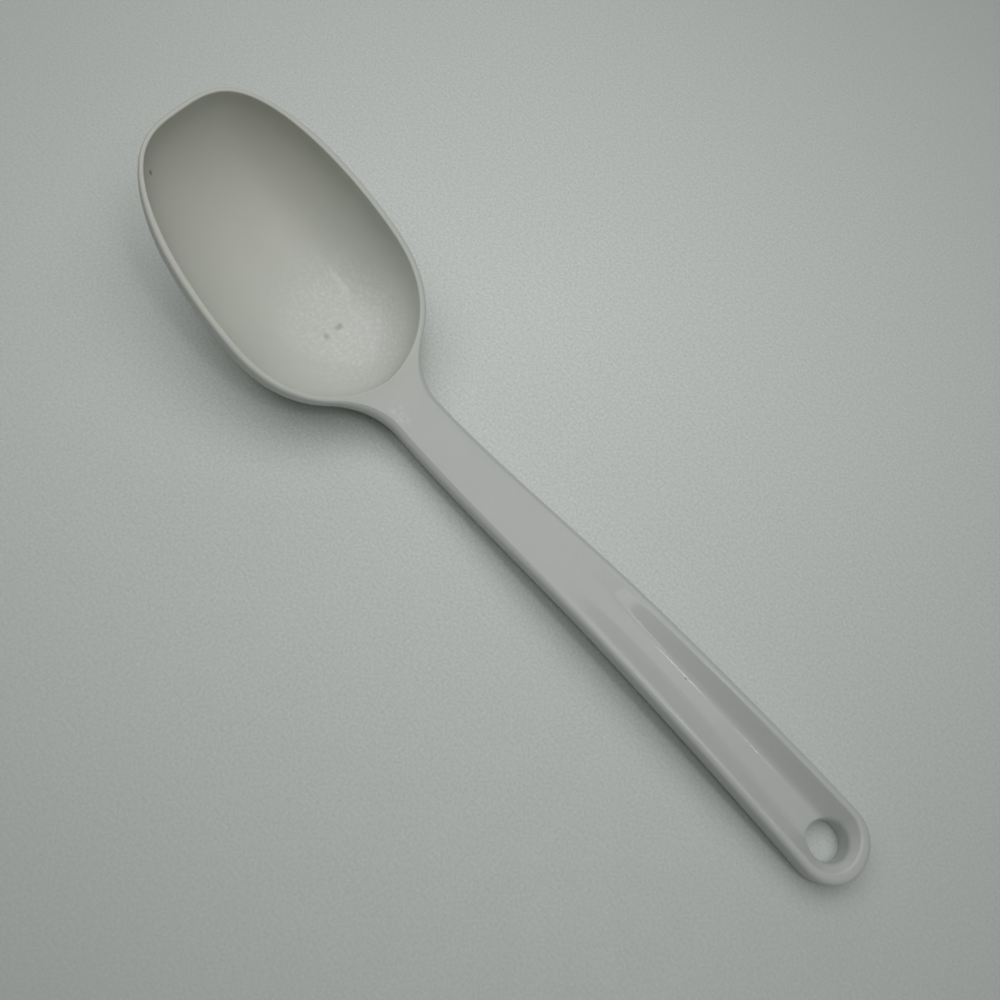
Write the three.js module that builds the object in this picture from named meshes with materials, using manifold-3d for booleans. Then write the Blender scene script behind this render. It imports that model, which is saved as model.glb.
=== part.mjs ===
// Serving spoon: a deep bowl with a broad tip and a flat lip, a flared neck, an arched handle with a trough
// along its top, and a round end with a hanging hole. Millimetres, +Z up, +X from the bowl to the handle end.
// The spoon lies on the plane Z = 0 on the belly of its bowl and on the underside of its handle end.
import * as THREE from 'three';
import { mergeVertices } from 'three/addons/utils/BufferGeometryUtils.js';
import Module from 'manifold-3d';

// Bowl, measured inside and in the plane of its lip, from its widest place, which is its deepest one too
const BOWL_HALF_WIDTH = 29.8;
const TIP_REACH = 55.5;
const NECK_REACH = 40.2;
const BOWL_DEPTH = 24.4;
const BOWL_TILT = THREE.MathUtils.degToRad(22);

// Roundness along and across the spoon: 2 and 2 give an ellipse, higher powers a squarer curve
const TIP_POWER_ALONG = 2.1;
const TIP_POWER_ACROSS = 3;
const NECK_POWER_ALONG = 2.7;
const NECK_POWER_ACROSS = 1.75;
const BOWL_SECTION_POWER = 2.3;

// Walls and lip. The wall is thinner at the tip, between two shares of the reach to it.
const WALL = 2.2;
const TIP_WALL = 1.6;
const THINNING_START = 0.45;
const THINNING_END = 0.9;
const FLOOR = 2.8;
const LIP_HEIGHT = 2.4;
const LIP_ROUND = 0.8;
const BELLY_FLAT = 0.4;

// Handle, with distances along X from the widest place of the bowl
const NECK_WIDTH = 16.6;
const END_WIDTH = 23.4;
const NECK_FILLET = 19;
const HANDLE_START_X = 64.5;
const END_X = 230.1;
const EYE_LENGTH = 31.6;
const NECK_THICKNESS = 7.6;
const END_THICKNESS = 10.6;

// Heights of the handle's top edges over the table
const DIP_X = 66.5;
const DIP_HEIGHT = 11.2;
const ARCH_X = 138.5;
const ARCH_HEIGHT = 15.9;
const END_HEIGHT = 8.8;

// Handle section
const EDGE_ROUND = 1.2;
const UNDERSIDE_ROUND = 1.8;
const SIDE_DRAFT = 0.8;
const FLARE_DRAFT = 0.8;
const NECK_CROWN = 0.8;

// Trough along the handle's top, with a flat floor between two sloping walls and a rib on each side. It gets
// deeper and its floor wider towards the round end, fast at first and then slowly.
const TROUGH_START_X = 100;
const TROUGH_GROWTH_POWER = 2.2;
const TROUGH_DEPTH = 4.5;
const TROUGH_FLOOR_AT_START = 1.2;
const TROUGH_FLOOR_AT_END = 6.8;
const RIB_WIDTH_AT_START = 2.7;
const RIB_WIDTH_AT_END = 2.5;

// Hanging hole
const HOLE_DIAMETER = 11.6;
const HOLE_FROM_END = 12.5;

// Gap left between the bowl, its lip and the neck, which are cut to each other
const SEAM = 0.3;

// Points closer than this are one point
const WELD_DISTANCE = 1e-4;

// Facets
const AROUND = 56;
const BOWL_LEVELS = 9;
const OUTLINE_HALVINGS = 40;
const LIP_SAMPLES = 200;
const CORNER_STEPS = 3;
const HANDLE_STATIONS = 22;
const NECK_STATIONS = 10;
const EYE_STATIONS = 4;
const EYE_SWING_STEPS = 10;
const HOLE_SIDES = 40;

const wasm = await Module();
wasm.setup();

const melamine = () => new THREE.MeshStandardMaterial({ color: 0xdcdcd4, roughness: 0.35, metalness: 0 });

// Closed skin over a row of rings with equal point counts. Each end of the row is closed by a fan to the
// middle of its ring, unless the row is itself a loop or its last ring is folded shut.
function skin(rings, { loop = false, foldedEnd = false } = {}) {
  const count = rings[0].length;
  const points = rings.flat();
  const indices = [];
  const joins = loop ? rings.length : rings.length - 1;
  for (let row = 0; row < joins; row += 1) {
    const here = row * count;
    const there = ((row + 1) % rings.length) * count;
    for (let i = 0; i < count; i += 1) {
      const j = (i + 1) % count;
      indices.push(here + i, there + i, there + j);
      indices.push(here + i, there + j, here + j);
    }
  }
  const closeRing = (row, turn) => {
    const middle = new THREE.Vector3();
    rings[row].forEach((point) => middle.addScaledVector(point, 1 / count));
    const hub = points.push(middle) - 1;
    for (let i = 0; i < count; i += 1) {
      const corner = row * count + i;
      const next = row * count + ((i + 1) % count);
      indices.push(hub, turn ? next : corner, turn ? corner : next);
    }
  };
  if (!loop) closeRing(0, false);
  if (!loop && !foldedEnd) closeRing(rings.length - 1, true);
  const geometry = new THREE.BufferGeometry().setFromPoints(points);
  geometry.setIndex(indices);
  return weld(geometry);
}

// Merge shared vertices and drop the triangles that this closes to nothing
function weld(geometry) {
  const merged = mergeVertices(geometry, WELD_DISTANCE);
  const corners = merged.index.array;
  const kept = [];
  for (let i = 0; i < corners.length; i += 3) {
    const [a, b, c] = corners.slice(i, i + 3);
    if (a !== b && b !== c && c !== a) kept.push(a, b, c);
  }
  merged.setIndex(kept);
  return merged;
}

function toSolid(geometry) {
  const plain = geometry.clone();
  plain.deleteAttribute('normal');
  plain.deleteAttribute('uv');
  const welded = weld(plain);
  return new wasm.Manifold(new wasm.Mesh({
    numProp: 3,
    vertProperties: new Float32Array(welded.attributes.position.array),
    triVerts: new Uint32Array(welded.index.array),
  }));
}

function toGeometry(solid) {
  const mesh = solid.getMesh();
  const geometry = new THREE.BufferGeometry();
  geometry.setAttribute('position', new THREE.BufferAttribute(new Float32Array(mesh.vertProperties), 3));
  geometry.setIndex([...mesh.triVerts]);
  return geometry;
}

const signedPower = (value, power) => Math.sign(value) * Math.abs(value) ** power;

// Outline of the bowl in the plane of its lip, grown outwards from the inside edge. Its place along a ray
// from the middle, as shares of the reach and of the half width, is found by halving.
function bowlOutline(angle, grow) {
  const toTip = Math.cos(angle) < 0;
  const reach = toTip ? TIP_REACH : NECK_REACH;
  const powerAlong = toTip ? TIP_POWER_ALONG : NECK_POWER_ALONG;
  const powerAcross = toTip ? TIP_POWER_ACROSS : NECK_POWER_ACROSS;
  const ray = new THREE.Vector2(Math.cos(angle), Math.sin(angle));
  const share = ray.clone();
  let [low, high] = [0, 2];
  for (let halving = 0; halving < OUTLINE_HALVINGS; halving += 1) {
    const length = (low + high) / 2;
    share.copy(ray).multiplyScalar(length);
    const inside = Math.abs(share.x) ** powerAlong + Math.abs(share.y) ** powerAcross < 1;
    [low, high] = inside ? [length, high] : [low, length];
  }
  const normal = new THREE.Vector2(
    (powerAlong * signedPower(share.x, powerAlong - 1)) / reach,
    (powerAcross * signedPower(share.y, powerAcross - 1)) / BOWL_HALF_WIDTH,
  ).normalize();
  const thinning = toTip ? THREE.MathUtils.smoothstep(-share.x, THINNING_START, THINNING_END) : 0;
  const thickness = grow * THREE.MathUtils.lerp(1, TIP_WALL / WALL, thinning);
  return new THREE.Vector2(share.x * reach, share.y * BOWL_HALF_WIDTH).addScaledVector(normal, thickness);
}

// Ring of the bowl in its own tilted frame. The spread is 1 at the lip and 0 at the deepest place.
function bowlRing(grow, spread, depth) {
  const ring = [];
  for (let i = 0; i < AROUND; i += 1) {
    const edge = bowlOutline((2 * Math.PI * i) / AROUND, grow).multiplyScalar(spread);
    ring.push(new THREE.Vector3(edge.x, edge.y, -depth));
  }
  return ring;
}

// Rings of one wall of the bowl below the lip, from the deepest place up
function bowlWall(grow, topDepth, floorDepth) {
  const rings = [];
  for (let level = 1; level <= BOWL_LEVELS; level += 1) {
    const turn = (Math.PI / 2) * (level / BOWL_LEVELS);
    const spread = Math.sin(turn) ** (2 / BOWL_SECTION_POWER);
    const drop = Math.max(0, Math.cos(turn)) ** (2 / BOWL_SECTION_POWER);
    rings.push(bowlRing(grow, spread, THREE.MathUtils.lerp(topDepth, floorDepth, drop)));
  }
  return rings;
}

const wallTop = LIP_HEIGHT + SEAM;
const innerWall = bowlWall(0, wallTop, BOWL_DEPTH);
const outerWall = bowlWall(WALL, wallTop, BOWL_DEPTH + FLOOR);

// The bowl is tilted and lowered until its belly would sink by the depth of its small flat
const tilt = new THREE.Matrix4().makeRotationY(BOWL_TILT);
const lowest = Math.min(...outerWall.flat().map((point) => point.clone().applyMatrix4(tilt).z));
const bowlRaise = -lowest - BELLY_FLAT;

function settleBowlPoint(point) {
  const settled = point.clone().applyMatrix4(tilt);
  settled.z = Math.max(0, settled.z + bowlRaise);
  return settled;
}
const settle = (rings) => rings.map((ring) => ring.map(settleBowlPoint));

function makeBowl() {
  return skin(settle([...innerWall, ...outerWall.toReversed()]));
}

// The lip is a ring with a flat top and rounded edges
function makeRim() {
  const round = Math.min(LIP_ROUND, WALL / 2);
  const rings = [bowlRing(0, 1, LIP_HEIGHT)];
  const roundEdge = (centre, from) => {
    for (let step = 0; step <= CORNER_STEPS; step += 1) {
      const angle = from - (Math.PI / 2) * (step / CORNER_STEPS);
      rings.push(bowlRing(centre + round * Math.cos(angle), 1, round - round * Math.sin(angle)));
    }
  };
  roundEdge(round, Math.PI);
  roundEdge(WALL - round, Math.PI / 2);
  rings.push(bowlRing(WALL, 1, LIP_HEIGHT));
  return skin(settle(rings), { loop: true });
}

function stations(from, to, count) {
  return Array.from({ length: count + 1 }, (_, i) => THREE.MathUtils.lerp(from, to, i / count));
}

// Where the neck leaves the lip, and the fillet in plan that touches the lip's outside and the neck's side
const neckRoot = settleBowlPoint(new THREE.Vector3(NECK_REACH + WALL, 0, 0));
const lipOutside = stations(0, Math.PI / 2, LIP_SAMPLES).map((angle) => {
  const edge = bowlOutline(angle, WALL);
  return settleBowlPoint(new THREE.Vector3(edge.x, edge.y, 0)).setZ(0);
});
function findFillet() {
  const centre = new THREE.Vector3(0, NECK_WIDTH / 2 + NECK_FILLET, 0);
  let [near, far] = [neckRoot.x, neckRoot.x + NECK_FILLET];
  let touch = neckRoot;
  for (let halving = 0; halving < OUTLINE_HALVINGS; halving += 1) {
    centre.x = (near + far) / 2;
    const closer = (best, point) => (point.distanceTo(centre) < best.distanceTo(centre) ? point : best);
    touch = lipOutside.reduce(closer);
    [near, far] = touch.distanceTo(centre) < NECK_FILLET ? [centre.x, far] : [near, centre.x];
  }
  return { neckEndX: centre.x, filletReach: centre.x - touch.x };
}
const { neckEndX, filletReach } = findFillet();

const eyeCentreX = END_X - END_WIDTH / 2;
const eyeStartX = END_X - EYE_LENGTH;

// Height of the handle's top edges: on from the plane of the lip to a dip, up to the arch and down to the end
function topHeight(x) {
  const lipFall = (x - neckRoot.x) * Math.tan(BOWL_TILT);
  if (x < neckRoot.x) return neckRoot.z - lipFall;
  if (x < DIP_X) {
    const share = (x - neckRoot.x) / (DIP_X - neckRoot.x);
    const rootHeight = THREE.MathUtils.lerp(neckRoot.z, DIP_HEIGHT, THREE.MathUtils.smoothstep(share, 0, 1));
    return rootHeight - lipFall * (1 - share) ** 2;
  }
  if (x < ARCH_X) {
    return THREE.MathUtils.lerp(DIP_HEIGHT, ARCH_HEIGHT, THREE.MathUtils.smoothstep(x, DIP_X, ARCH_X));
  }
  return ARCH_HEIGHT - (ARCH_HEIGHT - END_HEIGHT) * ((x - ARCH_X) / (END_X - ARCH_X)) ** 2;
}

// Values that change evenly from the end of the neck to the middle of the round end
const alongHandle = (x, atNeck, atEnd) => {
  const share = THREE.MathUtils.clamp((x - neckEndX) / (eyeCentreX - neckEndX), 0, 1);
  return THREE.MathUtils.lerp(atNeck, atEnd, share);
};

function flare(x) {
  const inFillet = THREE.MathUtils.clamp(neckEndX - x, 0, filletReach);
  return NECK_FILLET - Math.sqrt(NECK_FILLET ** 2 - inFillet ** 2);
}
const halfWidth = (x) => alongHandle(x, NECK_WIDTH, END_WIDTH) / 2 + flare(x);

// Crown of the top near the neck
function crown(x) {
  const { smoothstep } = THREE.MathUtils;
  return NECK_CROWN * smoothstep(x, neckRoot.x, neckEndX) * (1 - smoothstep(x, DIP_X, ARCH_X));
}

// Top of a section as [across, rise over the top edges], from the left rib over the trough to the right rib
function sectionTop(x, half) {
  const { clamp, lerp } = THREE.MathUtils;
  const share = clamp((x - TROUGH_START_X) / (eyeCentreX - TROUGH_START_X), 0, 1);
  const growth = 1 - (1 - share) ** TROUGH_GROWTH_POWER;
  const wallTop = half - lerp(RIB_WIDTH_AT_START, RIB_WIDTH_AT_END, share);
  const floorEdge = lerp(TROUGH_FLOOR_AT_START, TROUGH_FLOOR_AT_END, growth) / 2;
  const wallMiddle = (wallTop + floorEdge) / 2;
  const slope = (growth * TROUGH_DEPTH) / (wallTop - floorEdge);
  return [-wallTop, -wallMiddle, -floorEdge, 0, floorEdge, wallMiddle, wallTop].map((across) => {
    const sink = slope * Math.min(wallTop - Math.abs(across), wallTop - floorEdge);
    return [across, crown(x) * (1 - (across / half) ** 2) - sink];
  });
}

// Section of the handle as [across, height over the top edges], from the left over the top and back below
function handleSection(x) {
  const half = halfWidth(x);
  const round = Math.min(EDGE_ROUND, RIB_WIDTH_AT_START, RIB_WIDTH_AT_END);
  const thickness = alongHandle(x, NECK_THICKNESS, END_THICKNESS);
  const outline = [];
  const corner = (across, height, radius, from) => {
    for (let step = 0; step <= CORNER_STEPS; step += 1) {
      const angle = from - (Math.PI / 2) * (step / CORNER_STEPS);
      outline.push([across + radius * Math.cos(angle), height + radius * Math.sin(angle)]);
    }
  };
  corner(round - half, -round, round, Math.PI);
  outline.push(...sectionTop(x, half));
  corner(half - round, -round, round, Math.PI / 2);
  const foot = half - SIDE_DRAFT - UNDERSIDE_ROUND - flare(x) * FLARE_DRAFT;
  corner(foot, UNDERSIDE_ROUND - thickness, UNDERSIDE_ROUND, 0);
  outline.push([0, -thickness]);
  corner(-foot, UNDERSIDE_ROUND - thickness, UNDERSIDE_ROUND, -Math.PI / 2);
  return outline;
}

const onHandle = (x, y, height) => new THREE.Vector3(x, y, Math.max(0, topHeight(x) + height));
const handleRing = (x) => handleSection(x).map(([across, height]) => onHandle(x, across, height));

// The neck runs into the bowl and is cut back to a seam from the bowl and its lip
function makeNeck() {
  const filletTurns = stations(Math.acos(filletReach / NECK_FILLET), Math.PI / 2, NECK_STATIONS);
  const flared = filletTurns.map((turn) => neckEndX - NECK_FILLET * Math.cos(turn));
  const straight = stations(neckEndX, HANDLE_START_X, NECK_STATIONS).slice(1);
  const inside = neckEndX - filletReach - NECK_FILLET;
  const rings = [inside, ...flared, ...straight].map(handleRing);
  const clearance = WALL + SEAM;
  const above = bowlRing(clearance, 1, -BOWL_DEPTH);
  const beside = bowlWall(clearance, wallTop, BOWL_DEPTH + FLOOR + SEAM).toReversed();
  const bowlSpace = skin(settle([above, ...beside]));
  return toGeometry(toSolid(skin(rings)).subtract(toSolid(bowlSpace)));
}

function makeHandle() {
  return skin(stations(HANDLE_START_X, eyeStartX, HANDLE_STATIONS).map(handleRing));
}

// The round end: the section at its centre, with each half swung round to the tip
function makeEye() {
  const rings = stations(eyeStartX, eyeCentreX, EYE_STATIONS).map(handleRing);
  for (let step = 1; step <= EYE_SWING_STEPS; step += 1) {
    const swing = (Math.PI / 2) * (step / EYE_SWING_STEPS);
    const swungPoint = ([across, height]) => {
      const x = eyeCentreX + Math.abs(across) * Math.sin(swing);
      return onHandle(x, across * Math.cos(swing), height);
    };
    rings.push(handleSection(eyeCentreX).map(swungPoint));
  }
  const drillLength = 2 * (ARCH_HEIGHT + END_HEIGHT);
  const drill = new THREE.CylinderGeometry(HOLE_DIAMETER / 2, HOLE_DIAMETER / 2, drillLength, HOLE_SIDES);
  drill.rotateX(Math.PI / 2);
  drill.translate(END_X - HOLE_FROM_END, 0, 0);
  return toGeometry(toSolid(skin(rings, { foldedEnd: true })).subtract(toSolid(drill)));
}

function addPiece(group, name, geometry) {
  geometry.computeVertexNormals();
  const mesh = new THREE.Mesh(geometry, melamine());
  mesh.name = name;
  group.add(mesh);
}

const spoon = new THREE.Group();
addPiece(spoon, 'bowl', makeBowl());
addPiece(spoon, 'rim', makeRim());
addPiece(spoon, 'neck', makeNeck());
addPiece(spoon, 'handle', makeHandle());
addPiece(spoon, 'hanging_eye', makeEye());

// The origin lies under the middle of the spoon's length
const extent = new THREE.Box3().setFromObject(spoon, true);
spoon.position.x = -(extent.min.x + extent.max.x) / 2;
spoon.updateMatrixWorld(true);

export default spoon;
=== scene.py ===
"""Looks of a long moulded serving spoon that lies on a table on its belly and its handle end.

The spoon is one seamless moulding, so one skin stands for all its regions. It is modelled as a cage of
quads and smoothed: the bowl from its floor over the lip and down the outside, then the neck drawn out of
the bowl's wall, the handle, and the round end with its hanging hole.
"""
import functools
import math

import bmesh
import bpy
from mathutils import Matrix, Vector


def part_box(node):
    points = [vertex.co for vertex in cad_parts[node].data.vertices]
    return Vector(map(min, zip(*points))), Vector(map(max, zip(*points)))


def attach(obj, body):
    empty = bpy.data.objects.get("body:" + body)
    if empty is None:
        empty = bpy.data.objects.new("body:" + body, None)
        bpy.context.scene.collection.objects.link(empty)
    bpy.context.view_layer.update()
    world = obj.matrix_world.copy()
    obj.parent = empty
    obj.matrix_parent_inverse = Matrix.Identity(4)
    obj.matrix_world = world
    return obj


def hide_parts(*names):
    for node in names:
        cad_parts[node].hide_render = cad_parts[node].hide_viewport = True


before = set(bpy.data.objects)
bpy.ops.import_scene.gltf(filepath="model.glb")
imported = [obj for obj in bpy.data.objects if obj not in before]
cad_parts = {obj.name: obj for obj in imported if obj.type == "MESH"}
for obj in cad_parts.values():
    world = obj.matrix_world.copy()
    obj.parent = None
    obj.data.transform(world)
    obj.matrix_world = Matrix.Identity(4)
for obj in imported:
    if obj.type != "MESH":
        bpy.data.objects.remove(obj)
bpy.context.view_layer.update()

MM = 0.001

# Bowl, measured inside and in the plane of its lip, from its widest place, which is its deepest one too
BOWL_HALF_WIDTH = 29.8 * MM
TIP_REACH = 54.5 * MM
NECK_REACH = 40.2 * MM
BOWL_DEPTH = 24.4 * MM
BOWL_TILT = math.radians(22)

# Roundness along and across the spoon: 2 and 2 give an ellipse, higher powers a squarer curve
TIP_POWERS = (1.93, 3.25)
NECK_POWERS = (2.7, 1.75)
BOWL_SECTION_POWER = 2.3

# Slant of the tip, as a share of the distance from the middle line
TIP_SLANT = 0.05

# Wall and lip. The wall is thinner at the tip, between two shares of the reach to it.
WALL = 2.2 * MM
TIP_WALL = 1.6 * MM
THINNING_START = 0.45
THINNING_END = 0.9
FLOOR = 2.8 * MM
LIP_HEIGHT = 2.7 * MM
LIP_INNER_ROUND = 0.45 * MM
LIP_OUTER_ROUND = 1 * MM
BELLY_FLAT = 0.4 * MM

# Handle, with distances along X from the widest place of the bowl
NECK_WIDTH = 16.6 * MM
END_WIDTH = 23.4 * MM
NECK_FILLET = 19 * MM
NECK_ROOT_DEPTH = 14 * MM
HANDLE_START_X = 64.5 * MM
END_X = 230.1 * MM
NECK_THICKNESS = 7.6 * MM
END_THICKNESS = 10.6 * MM
DIP_X = 66.5 * MM
DIP_HEIGHT = 11.2 * MM
ARCH_X = 138.5 * MM
ARCH_HEIGHT = 15.9 * MM
END_HEIGHT = 8.8 * MM
EDGE_ROUND = 1.7 * MM
UNDERSIDE_ROUND = 1.8 * MM
SIDE_DRAFT = 0.8 * MM
NECK_CROWN = 0.8 * MM

# Trough along the top of the handle, between two ribs. It gets deeper and its floor wider towards the end.
# Round the eye at the end the two ribs meet, and there they are wider by the gain.
TROUGH_START_X = 100 * MM
TROUGH_GROWTH_POWER = 1.1
TROUGH_FADE = 8 * MM
TROUGH_DEPTH = 5.7 * MM
TROUGH_FLOOR_AT_START = 2.4 * MM
TROUGH_FLOOR_AT_END = 7.8 * MM
CREASE_SOFTNESS = 1 * MM
RIB_EDGE_SOFTNESS = 0.3 * MM
RIB_WIDTH_AT_START = 2.7 * MM
RIB_WIDTH_AT_END = 2.5 * MM
RIB_GAIN_ROUND_EYE = 1.2 * MM

# Hanging hole
HOLE_RADIUS = 5.8 * MM
HOLE_FROM_END = 11.8 * MM
HOLE_EDGE_ROUND = 0.8 * MM

# Counts of the cage
SPOKES = 128
SPOKE_CROWDING = 0.4
NECK_SPOKES = 19
FLOOR_SHARE = 0.3
INNER_LEVELS = 18
OUTER_LEVELS = 16
ROUND_STEPS = 3
WALL_STEPS = 6
FILLET_RINGS = 10
HANDLE_STEP = 4 * MM
CREASE_LANE = 4
TROUGH_LANES = 12
UNDER_LANE_SHARE = 0.88
EYE_SIDE_STEPS = 4
EYE_SWING_STEPS = 2 * (TROUGH_LANES + EYE_SIDE_STEPS)
EYE_RINGS = 5
HALVINGS = 40
SKIN_SUBDIVISIONS = 1
MERGE_DISTANCE = 0.01 * MM
NO_LABEL = -1

# Pull of the neck's fillet on its strands
FILLET_PULL = 1.08


def lerp(start, end, share):
    return start + (end - start) * share


def clamp(value, low, high):
    return max(low, min(high, value))


def smoothstep(value, start, end):
    share = clamp((value - start) / (end - start), 0, 1)
    return share * share * (3 - 2 * share)


def soft_positive(value, softness):
    """The value where it is positive and 0 where it is negative, with a round corner between."""
    if abs(value) >= softness:
        return max(0, value)
    return (value + softness) ** 2 / (4 * softness)


def signed_power(value, power):
    return math.copysign(abs(value) ** power, value)


# Bowl shape
def spoke_angle(spoke):
    """Angle of a spoke of the bowl. Spoke 0 points at the neck, where the spokes stand closer."""
    turn = 2 * math.pi * spoke / SPOKES
    return turn - SPOKE_CROWDING * math.sin(turn)


@functools.lru_cache(maxsize=None)
def outline_share(angle):
    """Inside edge of the lip on a ray from the bowl's middle, as shares of its reach and half width."""
    along, across = math.cos(angle), math.sin(angle)
    power_along, power_across = TIP_POWERS if along < 0 else NECK_POWERS
    low, high = 0, 2
    for _ in range(HALVINGS):
        length = (low + high) / 2
        if abs(length * along) ** power_along + abs(length * across) ** power_across < 1:
            low = length
        else:
            high = length
    return low * along, low * across


def bowl_outline(angle, grow):
    """Outline in the plane of the lip, grown outwards from the inside edge, and less so at the thin tip."""
    x, y = outline_share(angle)
    reach, powers = (TIP_REACH, TIP_POWERS) if x < 0 else (NECK_REACH, NECK_POWERS)
    steepness_along = powers[0] * signed_power(x, powers[0] - 1) / reach
    steepness_across = powers[1] * signed_power(y, powers[1] - 1) / BOWL_HALF_WIDTH
    normal = Vector((steepness_along, steepness_across)).normalized()
    thinning = lerp(1, TIP_WALL / WALL, smoothstep(-x, THINNING_START, THINNING_END))
    edge = Vector((x * reach, y * BOWL_HALF_WIDTH)) + normal * grow * thinning
    edge.x -= TIP_SLANT * edge.y * min(0, x) ** 2
    return edge


def drop_at(spread):
    """Share of the bowl's depth at a share of its spread, and the same the other way round."""
    return max(0, 1 - spread ** BOWL_SECTION_POWER) ** (1 / BOWL_SECTION_POWER)


def tilted_bowl_point(spoke, grow, spread, depth):
    edge = bowl_outline(spoke_angle(spoke), grow) * spread
    return Matrix.Rotation(BOWL_TILT, 3, "Y") @ Vector((edge.x, edge.y, -depth))


OUTER_DEPTH = BOWL_DEPTH + FLOOR


def wall_depth(spread, floor_depth):
    return lerp(LIP_HEIGHT, floor_depth, drop_at(spread))


def bowl_raise():
    """Height of the lip's middle over the table, with the belly pressed flat by a little."""
    lowest = 0
    for spoke in range(SPOKES):
        for level in range(SPOKES):
            spread = level / SPOKES
            depth = wall_depth(spread, OUTER_DEPTH)
            lowest = min(lowest, tilted_bowl_point(spoke, WALL, spread, depth).z)
    return -lowest - BELLY_FLAT


BOWL_RAISE = bowl_raise()
BOWL_WIDEST_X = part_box("handle")[0].x - HANDLE_START_X


def on_table(x, y, z):
    """Point of the spoon in the shared frame, never below the table."""
    return Vector((x + BOWL_WIDEST_X, y, max(0, z)))


def bowl_point(spoke, ring):
    point = tilted_bowl_point(spoke, *ring)
    return on_table(point.x, point.y, point.z + BOWL_RAISE)


def bowl_rings():
    """Rings of the bowl as (grow, spread, depth), and the numbers of the two rings that frame the neck."""
    rings = []
    floor_turn = math.asin(FLOOR_SHARE ** (BOWL_SECTION_POWER / 2))
    for level in range(INNER_LEVELS + 1):
        turn = lerp(floor_turn, math.pi / 2, level / INNER_LEVELS)
        spread = math.sin(turn) ** (2 / BOWL_SECTION_POWER)
        rings.append((0, spread, wall_depth(spread, BOWL_DEPTH)))
    for step in range(ROUND_STEPS + 1):
        turn = math.pi / 2 * step / ROUND_STEPS
        grow = LIP_INNER_ROUND * (1 - math.cos(turn))
        rings.append((grow, 1, LIP_INNER_ROUND * (1 - math.sin(turn))))
    flat_end = WALL - LIP_OUTER_ROUND
    rings.append(((LIP_INNER_ROUND + flat_end) / 2, 1, 0))
    rings.append((flat_end, 1, 0))
    neck_top = len(rings) - 1
    for step in range(1, ROUND_STEPS + 1):
        turn = math.pi / 2 * step / ROUND_STEPS
        grow = flat_end + LIP_OUTER_ROUND * math.sin(turn)
        rings.append((grow, 1, LIP_OUTER_ROUND * (1 - math.cos(turn))))
    root_share = (NECK_ROOT_DEPTH - LIP_HEIGHT) / (OUTER_DEPTH - LIP_HEIGHT)
    for step in range(WALL_STEPS + 1):
        spread = drop_at(root_share * step / WALL_STEPS)
        rings.append((WALL, spread, wall_depth(spread, OUTER_DEPTH)))
    neck_bottom = len(rings) - 1
    root_turn = math.asin(rings[-1][1] ** (BOWL_SECTION_POWER / 2))
    for level in range(1, OUTER_LEVELS + 1):
        turn = lerp(root_turn, floor_turn, level / OUTER_LEVELS)
        spread = math.sin(turn) ** (2 / BOWL_SECTION_POWER)
        rings.append((WALL, spread, wall_depth(spread, OUTER_DEPTH)))
    return rings, neck_top, neck_bottom


# Handle shape
def lip_outside(spoke):
    return tilted_bowl_point(spoke, WALL, 1, 0) + Vector((0, 0, BOWL_RAISE))


NECK_ROOT = lip_outside(0)
EYE_X = END_X - END_WIDTH / 2
HOLE_X = END_X - HOLE_FROM_END
TOP_LANES = range(-NECK_SPOKES, NECK_SPOKES + 1)
SIDE_LANES = ROUND_STEPS + WALL_STEPS
EYE_TURNS = 2 * EYE_SWING_STEPS


def neck_end():
    """Where the neck's sides run straight: its fillet, from above, touches them and the lip's outside."""
    lip = [lip_outside(spoke / HALVINGS * SPOKES / 4).xy for spoke in range(HALVINGS + 1)]
    near, far = NECK_ROOT.x, NECK_ROOT.x + NECK_FILLET
    for _ in range(HALVINGS):
        centre = Vector(((near + far) / 2, NECK_WIDTH / 2 + NECK_FILLET))
        if min((point - centre).length for point in lip) < NECK_FILLET:
            near = centre.x
        else:
            far = centre.x
    return near


NECK_END_X = neck_end()


def top_height(x):
    """Height of the handle's top edges: from the lip's plane to a dip, up to the arch, down to the end."""
    if x < DIP_X:
        share = (x - NECK_ROOT.x) / (DIP_X - NECK_ROOT.x)
        lip_fall = (x - NECK_ROOT.x) * math.tan(BOWL_TILT)
        return lerp(NECK_ROOT.z, DIP_HEIGHT, smoothstep(share, 0, 1)) - lip_fall * (1 - share) ** 2
    if x < ARCH_X:
        return lerp(DIP_HEIGHT, ARCH_HEIGHT, smoothstep(x, DIP_X, ARCH_X))
    return ARCH_HEIGHT - (ARCH_HEIGHT - END_HEIGHT) * ((x - ARCH_X) / (END_X - ARCH_X)) ** 2


def along_handle(x, at_neck, at_end):
    return lerp(at_neck, at_end, clamp((x - NECK_END_X) / (EYE_X - NECK_END_X), 0, 1))


def half_width(x):
    return along_handle(x, NECK_WIDTH, END_WIDTH) / 2


def trough_growth(x):
    """Share of the trough's full depth, with a soft start."""
    share = soft_positive(x - TROUGH_START_X, TROUGH_FADE) / (EYE_X - TROUGH_START_X)
    return 1 - (1 - min(1, share)) ** TROUGH_GROWTH_POWER


def floor_edge(x):
    return lerp(TROUGH_FLOOR_AT_START, TROUGH_FLOOR_AT_END, trough_growth(x)) / 2


def wall_top(x):
    """Distance of a rib's inner edge from the middle line."""
    share = clamp((x - TROUGH_START_X) / (EYE_X - TROUGH_START_X), 0, 1)
    return half_width(x) - lerp(RIB_WIDTH_AT_START, RIB_WIDTH_AT_END, share)


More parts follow.
